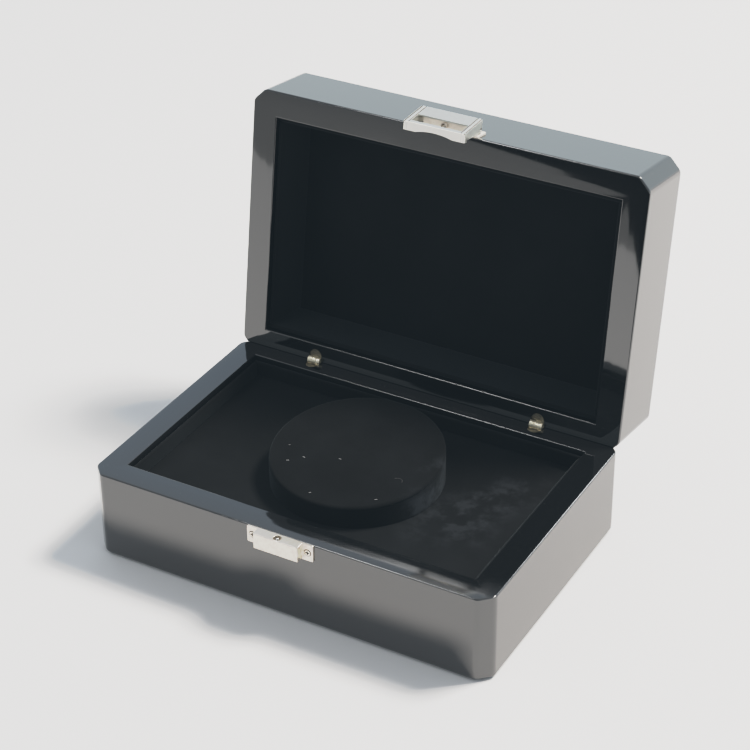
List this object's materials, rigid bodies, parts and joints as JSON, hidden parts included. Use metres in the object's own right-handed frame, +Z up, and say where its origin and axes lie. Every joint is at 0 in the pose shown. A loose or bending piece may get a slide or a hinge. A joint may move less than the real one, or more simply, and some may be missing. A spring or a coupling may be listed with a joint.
{
  "type": "velvet jewelry box",
  "caption": "Black lacquered box with cut corners, a velvet tray with a slanted round drum, a deep velvet-lined lid on barrel hinges and a nickel flap latch.",
  "frame": {"origin": "middle of the underside, on the felt pad's lower face", "axes": "+X to the box's right, +Y from the latch to the hinges, +Z up"},
  "size_m": [0.24, 0.2264, 0.2129],
  "materials": {
    "black_lacquer": "black piano lacquer over board, polished to a mirror",
    "black_velvet": "black velvet glued over board, fine directional nap",
    "felt": "thin black felt",
    "bare_wood": "bare fibreboard, hidden",
    "satin_nickel": "satin nickel plate on a zinc casting",
    "polished_steel": "polished steel",
    "brass": "pale satin brass"
  },
  "bodies": {
    "base": {"base_felt_pad": "felt", "base_front_board": "black_lacquer", "base_back_board": "black_lacquer", "base_left_board": "black_lacquer", "base_right_board": "black_lacquer", "base_bottom_panel": "black_lacquer", "tray_floor": "black_velvet", "floor_risers": "bare_wood", "tray_lining_front": "black_velvet", "tray_lining_back": "black_velvet", "tray_lining_left": "black_velvet", "tray_lining_right": "black_velvet", "drum_core": "bare_wood", "drum_band": "black_velvet", "drum_pad": "black_velvet", "hinge_base_barrel_left": "brass", "hinge_base_barrel_right": "brass", "hinge_pin_left": "brass", "hinge_pin_right": "brass", "keeper": "satin_nickel", "keeper_screws": "satin_nickel", "keeper_stud": "polished_steel"},
    "lid": {"lid_front_board": "black_lacquer", "lid_back_board": "black_lacquer", "lid_left_board": "black_lacquer", "lid_right_board": "black_lacquer", "lid_top_panel": "black_lacquer", "lid_lining_front": "black_velvet", "lid_lining_back": "black_velvet", "lid_lining_left": "black_velvet", "lid_lining_right": "black_velvet", "lid_lining_top": "black_velvet", "hinge_lid_barrel_left": "brass", "hinge_lid_barrel_right": "brass", "latch_mount": "satin_nickel", "latch_screws": "satin_nickel", "latch_socket": "satin_nickel", "latch_pin": "polished_steel"},
    "latch": {"latch_flap": "satin_nickel"}
  },
  "joints": [
    {"name": "lid_hinge", "type": "hinge", "parent": "base", "child": "lid", "pos_m": [0, 0.075, 0.0528], "axis": [1, 0, 0], "range_deg": [0, 98.6]},
    {"name": "latch_flap_hinge", "type": "hinge", "parent": "lid", "child": "latch", "pos_m": [0, 0.10425, 0.20807], "axis": [-1, 0, 0], "range_deg": [0, 90]}
  ]
}
